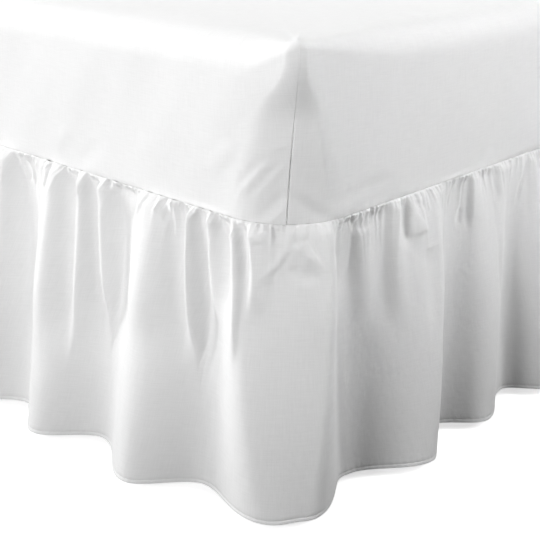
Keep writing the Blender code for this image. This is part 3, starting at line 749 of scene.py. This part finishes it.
def make_frill(material):
    """The gathered frill in one strip: a shallow groove for the hem's stitch line, and the hem's turn."""
    seam = RoundedPlan(SEAM_HALF, SEAM_CORNER)
    folds = all_folds(seam)
    low, high = frill_ends(seam)
    s = spaced(low, high, *FRILL_COLUMNS)[None, :]
    down = np.array(FRILL_ROWS + tuple(row[0] for row in HEM_TURN))[:, None]
    inset = np.array((0.0,) * len(FRILL_ROWS) + tuple(row[1] for row in HEM_TURN))[:, None]
    points = frill_points(s, down, seam, folds)
    inner, normal = seam.at(s)
    hem = down - (DROP - HEM_DEPTH)
    relief = HEM_PUCKER * np.sin(2 * np.pi * s / HEM_PUCKER_PITCH) * np.exp(-(hem / HEM_PUCKER_WIDTH) ** 2)
    relief = relief - HEM_GROOVE * np.exp(-(hem / HEM_GROOVE_WIDTH) ** 2)
    relief = relief + HEM_STEP * eased(hem / HEM_STEP_WIDTH) - inset
    points[..., :2] += normal * relief[..., None] + MIDDLE[:2]
    rows, columns = points.shape[:2]
    faces = grid_faces(rows, columns)
    across = np.broadcast_to(FULLNESS * s, (rows, columns)).ravel()
    along = np.broadcast_to(down, (rows, columns)).ravel()
    uv = np.stack([across[faces], along[faces]], -1)
    frill = mesh_object("gathered_frill", points.reshape(-1, 3), faces, material, uv)
    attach(frill, "root")
    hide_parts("frill")
    return frill


# ---------------------------------------------------------------- materials

LAID_COTTON = (0.85, 0.85, 0.85)         # the sheet, laid over the mattress
HANGING_SHADED_COTTON = (0.82, 0.82, 0.82)      # the frill at the seam: the sheet's own cloth painted a little darker, as painted shade
HEM_SHADED_COTTON = (0.72, 0.72, 0.72)          # painted shade: the frill darkened at the hem, where it hangs in front of a dark space
FADES = (0.10, 0.40)                     # metres below the seam between which the painted shade comes in, one colour fading to the other
LAID_CRUMPLE, HANGING_CRUMPLE = 0.00025, 0.00070     # height of the soft creases all over each
CRUMPLE_SCALE = 70.0                     # about how many of those to a metre
COTTON_ROUGHNESS = 0.80
COTTON_FINISH = {"Specular IOR Level": 0.30, "Sheen Weight": 0.08, "Sheen Roughness": 0.5}
COTTON_WEAVE = (0.00052, 1.1, 0.00007)   # its thread pitch, how uneven the threads are, and its depth
SLUB_SCALE, SLUB_STRETCH = 700.0, 0.045  # the noise that makes threads uneven, and its share along them
CROSSING_HEIGHT = 0.5                    # the share of a weave's depth that is its crossings
SLUB_TINT = 0.10                         # how much lighter a thick place in a thread is
FLOOR_PLAIN, FLOOR_ROUGHNESS = (0.93, 0.93, 0.93), 0.9
FLOOR_SEEN = (0.97, 0.97, 0.97, 1.0)     # the floor's colour to the camera
FLOOR_GLOW = 0.66                        # and its glow, to the camera alone
FLOOR_BACK = (0.06, 0.06, 0.06, 1.0)     # its colour in the light that it sends back


def add_node(tree, kind, place, **settings):
    """A node of a tree, with its own settings and, by socket name, its inputs' values."""
    node = tree.nodes.new(kind)
    node.location = place
    for name, value in settings.items():
        if name == "inputs":
            for socket, setting in value.items():
                node.inputs[socket].default_value = setting
        else:
            setattr(node, name, value)
    return node


def maths(tree, operation, first, second, place):
    """A Math node's output. Each of first and second is a number, an output or None."""
    node = add_node(tree, "ShaderNodeMath", place, operation=operation)
    for socket, value in zip(node.inputs, (first, second)):
        if isinstance(value, (int, float)):
            socket.default_value = value
        elif value is not None:
            tree.links.new(value, socket)
    return node.outputs[0]


def plain_weave_group():
    """A node group: plain weave for cloth coordinates in metres, giving a height and a tint about 1.

    The threads cross as sin(u) times sin(v), so raised and sunk crossings alternate. Stretched noise
    along each set of threads makes some thicker and a little lighter.
    """
    tree = bpy.data.node_groups.new("Plain weave", "ShaderNodeTree")
    face = tree.interface
    face.new_socket("Cloth", in_out="INPUT", socket_type="NodeSocketVector")
    pitch = face.new_socket("Pitch", in_out="INPUT", socket_type="NodeSocketFloat")
    pitch.default_value = 0.0005
    slub = face.new_socket("Slub", in_out="INPUT", socket_type="NodeSocketFloat")
    slub.default_value = 0.5
    face.new_socket("Height", in_out="OUTPUT", socket_type="NodeSocketFloat")
    face.new_socket("Tint", in_out="OUTPUT", socket_type="NodeSocketFloat")
    start = add_node(tree, "NodeGroupInput", (-900, 0))
    end = add_node(tree, "NodeGroupOutput", (700, 0))
    parts = add_node(tree, "ShaderNodeSeparateXYZ", (-700, 100))
    tree.links.new(start.outputs["Cloth"], parts.inputs[0])
    turns = maths(tree, "DIVIDE", 2 * math.pi, start.outputs["Pitch"], (-700, -100))
    warp = maths(tree, "MULTIPLY", parts.outputs["X"], turns, (-500, 200))
    warp = maths(tree, "SINE", warp, None, (-340, 200))
    weft = maths(tree, "MULTIPLY", parts.outputs["Y"], turns, (-500, 60))
    weft = maths(tree, "SINE", weft, None, (-340, 60))
    crossing = maths(tree, "MULTIPLY", warp, weft, (-180, 130))
    slubs = []
    for number, stretch in enumerate(((1.0, SLUB_STRETCH, 1.0), (SLUB_STRETCH, 1.0, 1.0))):
        scaled = add_node(tree, "ShaderNodeVectorMath", (-500, -160 - 200 * number), operation="MULTIPLY")
        tree.links.new(start.outputs["Cloth"], scaled.inputs[0])
        scaled.inputs[1].default_value = stretch
        noise = add_node(tree, "ShaderNodeTexNoise", (-320, -160 - 200 * number),
                         inputs={"Scale": SLUB_SCALE, "Detail": 2.0, "Roughness": 0.6})
        tree.links.new(scaled.outputs[0], noise.inputs["Vector"])
        slubs.append(maths(tree, "SUBTRACT", noise.outputs["Fac"], 0.5, (-140, -160 - 200 * number)))
    both = maths(tree, "ADD", slubs[0], slubs[1], (40, -240))
    both = maths(tree, "MULTIPLY", both, start.outputs["Slub"], (200, -240))
    height = maths(tree, "MULTIPLY_ADD", crossing, CROSSING_HEIGHT, (360, 60))
    tree.links.new(both, height.node.inputs[2])
    tint = maths(tree, "MULTIPLY_ADD", both, SLUB_TINT, (360, -160))
    tint.node.inputs[2].default_value = 1.0
    tree.links.new(height, end.inputs["Height"])
    tree.links.new(tint, end.inputs["Tint"])
    return tree


WEAVE = plain_weave_group()


def new_material(name, colour, roughness):
    """A material with a Principled shader, its tree and its shader."""
    material = bpy.data.materials.new(name)
    material.use_nodes = True
    material.diffuse_color = (*colour, 1.0)
    shader = material.node_tree.nodes["Principled BSDF"]
    shader.inputs["Base Color"].default_value = (*colour, 1.0)
    shader.inputs["Roughness"].default_value = roughness
    return material, material.node_tree, shader


def woven(tree, shader, colour, coordinate, pitch, slub, depth, creased):
    """Plain weave on a shader: the group's tint on the colour, and its height plus creases in a bump."""
    weave = add_node(tree, "ShaderNodeGroup", (-700, 0), node_tree=WEAVE)
    tree.links.new(coordinate, weave.inputs["Cloth"])
    weave.inputs["Pitch"].default_value = pitch
    weave.inputs["Slub"].default_value = slub
    tinted = add_node(tree, "ShaderNodeVectorMath", (-480, 160), operation="SCALE")
    if isinstance(colour, tuple):
        tinted.inputs[0].default_value = colour
    else:
        tree.links.new(colour, tinted.inputs[0])
    tree.links.new(weave.outputs["Tint"], tinted.inputs["Scale"])
    tree.links.new(tinted.outputs[0], shader.inputs["Base Color"])
    height = maths(tree, "ADD", weave.outputs["Height"], creased, (-480, -200))
    bump = add_node(tree, "ShaderNodeBump", (-260, -200), inputs={"Strength": 1.0, "Distance": depth})
    tree.links.new(height, bump.inputs["Height"])
    tree.links.new(bump.outputs["Normal"], shader.inputs["Normal"])


def cotton(name, colour, crumple, lower=None):
    """White cotton in plain weave, with soft creases of about the height crumple over its area.

    The same cloth looks brighter over a white mattress than where it hangs in front of a dark space.
    Here that light is painted: given a lower colour, the hanging cloth fades from its colour to that
    painted shade between two distances from the seam.
    """
    material, tree, shader = new_material(name, colour, COTTON_ROUGHNESS)
    for socket, value in COTTON_FINISH.items():
        shader.inputs[socket].default_value = value
    cloth = add_node(tree, "ShaderNodeUVMap", (-1100, 0), uv_map="cloth")
    soft = add_node(tree, "ShaderNodeTexNoise", (-900, -300), inputs={"Scale": CRUMPLE_SCALE, "Detail": 4.0})
    tree.links.new(cloth.outputs[0], soft.inputs["Vector"])
    creased = maths(tree, "MULTIPLY", soft.outputs["Fac"], crumple / COTTON_WEAVE[2], (-700, -300))
    # Painted shade: the hanging cloth darkens towards the hem.
    if lower is not None:
        parts = add_node(tree, "ShaderNodeSeparateXYZ", (-1100, 300))
        tree.links.new(cloth.outputs[0], parts.inputs[0])
        fall = add_node(tree, "ShaderNodeMapRange", (-900, 300), interpolation_type="SMOOTHSTEP",
                        inputs={"From Min": FADES[0], "From Max": FADES[1]})
        tree.links.new(parts.outputs["Y"], fall.inputs["Value"])
        fade = add_node(tree, "ShaderNodeMix", (-700, 300), data_type="RGBA")
        fade.inputs[6].default_value, fade.inputs[7].default_value = (*colour, 1.0), (*lower, 1.0)
        tree.links.new(fall.outputs["Result"], fade.inputs["Factor"])
        colour = fade.outputs[2]
    woven(tree, shader, colour, cloth.outputs[0], *COTTON_WEAVE, creased)
    return material


def floor_paint():
    """The floor: pale where the camera sees it, and dimmer in the light it sends back on to the cloth."""
    material, tree, shader = new_material("floor", FLOOR_PLAIN, FLOOR_ROUGHNESS)
    shader.inputs["Specular IOR Level"].default_value = 0.0
    path = add_node(tree, "ShaderNodeLightPath", (-700, 0))
    mix = add_node(tree, "ShaderNodeMix", (-400, 0), data_type="RGBA")
    tree.links.new(path.outputs["Is Camera Ray"], mix.inputs["Factor"])
    mix.inputs[6].default_value = FLOOR_BACK
    mix.inputs[7].default_value = FLOOR_SEEN
    tree.links.new(mix.outputs[2], shader.inputs["Base Color"])
    shader.inputs["Emission Color"].default_value = (1.0, 1.0, 1.0, 1.0)
    glow = maths(tree, "MULTIPLY", path.outputs["Is Camera Ray"], FLOOR_GLOW, (-400, -240))
    tree.links.new(glow, shader.inputs["Emission Strength"])
    return material


make_sheet(cotton("white_cotton", LAID_COTTON, LAID_CRUMPLE))
# The frill is a darker copy of the sheet's cloth, which is painted shade, and it darkens further towards the
# hem.
make_frill(cotton("hanging_cotton_painted_shade", HANGING_SHADED_COTTON, HANGING_CRUMPLE, HEM_SHADED_COTTON))


# ---------------------------------------------------------------- camera, light and floor

CAMERA_FROM_MIDDLE = (1.4952, -1.8423)   # in plan
CAMERA_HEIGHT = 0.8273
LENS, SENSOR = 66.98, 36.0               # millimetres
TURN, DIP = math.radians(43.82), math.radians(21.34)     # its turn about Z, and its dip


def add_camera():
    """The camera, off the foot corner and above the mattress, looking down a little."""
    camera = bpy.data.objects.new("camera", bpy.data.cameras.new("camera"))
    camera.data.lens = LENS
    camera.data.sensor_width = SENSOR
    camera.location = (MIDDLE[0] + CAMERA_FROM_MIDDLE[0], MIDDLE[1] + CAMERA_FROM_MIDDLE[1], CAMERA_HEIGHT)
    look = Vector((-math.sin(TURN) * math.cos(DIP), math.cos(TURN) * math.cos(DIP), -math.sin(DIP)))
    camera.rotation_euler = look.to_track_quat("-Z", "Y").to_euler()
    bpy.context.scene.collection.objects.link(camera)
    bpy.context.scene.camera = camera


def area_light(name, place, target, size, power, spread):
    """A rectangular area light at a place, facing a target, both from the mattress's middle in plan.

    Its beam spreads over so many degrees.
    """
    light = bpy.data.lights.new(name, "AREA")
    light.shape = "RECTANGLE"
    light.size, light.size_y = size
    light.energy = power
    light.spread = math.radians(spread)
    item = bpy.data.objects.new(name, light)
    offset = Vector((MIDDLE[0], MIDDLE[1], 0.0))
    item.location = Vector(place) + offset
    item.rotation_euler = (Vector(target) - Vector(place)).to_track_quat("-Z", "Y").to_euler()
    bpy.context.scene.collection.objects.link(item)
    return item


# Each light's name, place, target, size, power in watts and spread in degrees.
LIGHTS = (
    ("right_softbox", (2.8, -0.4, 0.78), (0.7, -0.6, 0.74), (1.2, 0.3), 1.8, 50.0),
    ("front_softbox", (0.6, -3.6, 1.15), (0.5, -0.9, 0.4), (1.2, 1.0), 64.0, 180.0),
    ("left_softbox", (-3.4, -2.4, 2.0), (0.3, -0.9, 0.4), (1.6, 1.4), 145.0, 180.0),
    ("top_softbox", (0.1, -0.3, 3.3), (0.1, -0.3, 0.6), (2.0, 2.0), 26.0, 180.0),
    ("left_back_softbox", (-3.0, 0.6, 3.0), (0.2, -0.8, 0.5), (2.0, 2.0), 24.0, 180.0),
    ("right_back_softbox", (3.0, 1.6, 2.3), (0.4, -0.6, 0.5), (2.0, 2.0), 103.0, 180.0),
    ("head_softbox", (-0.8, 4.2, 1.4), (0.0, 1.0, 0.4), (2.0, 1.4), 70.0, 180.0),
)
WORLD_STRENGTH = 0.02            # the backdrop's light on the cloth
BACKDROP_SEEN = 0.82             # its brightness to the camera
FLOOR_HALF = 9.0


def add_floor():
    """A square floor."""
    corners = FLOOR_HALF * np.array([(-1, -1, 0), (1, -1, 0), (1, 1, 0), (-1, 1, 0)], float)
    floor = mesh_object("floor", corners, np.array([[0, 1, 2, 3]]), floor_paint())


def add_backdrop():
    """The world behind: white, pale to the camera, and almost dark to everything else."""
    world = bpy.data.worlds.new("studio")
    bpy.context.scene.world = world
    world.use_nodes = True
    tree = world.node_tree
    backdrop = tree.nodes["Background"]
    backdrop.inputs["Color"].default_value = (1, 1, 1, 1)
    seen = add_node(tree, "ShaderNodeLightPath", (-700, 0)).outputs["Is Camera Ray"]
    seen = maths(tree, "MULTIPLY", seen, BACKDROP_SEEN, (-500, 0))
    seen = maths(tree, "MAXIMUM", seen, WORLD_STRENGTH, (-300, 0))
    tree.links.new(seen, backdrop.inputs["Strength"])


add_camera()
for row in LIGHTS:
    area_light(*row)
add_floor()
add_backdrop()
bpy.context.scene.view_settings.view_transform = "Standard"
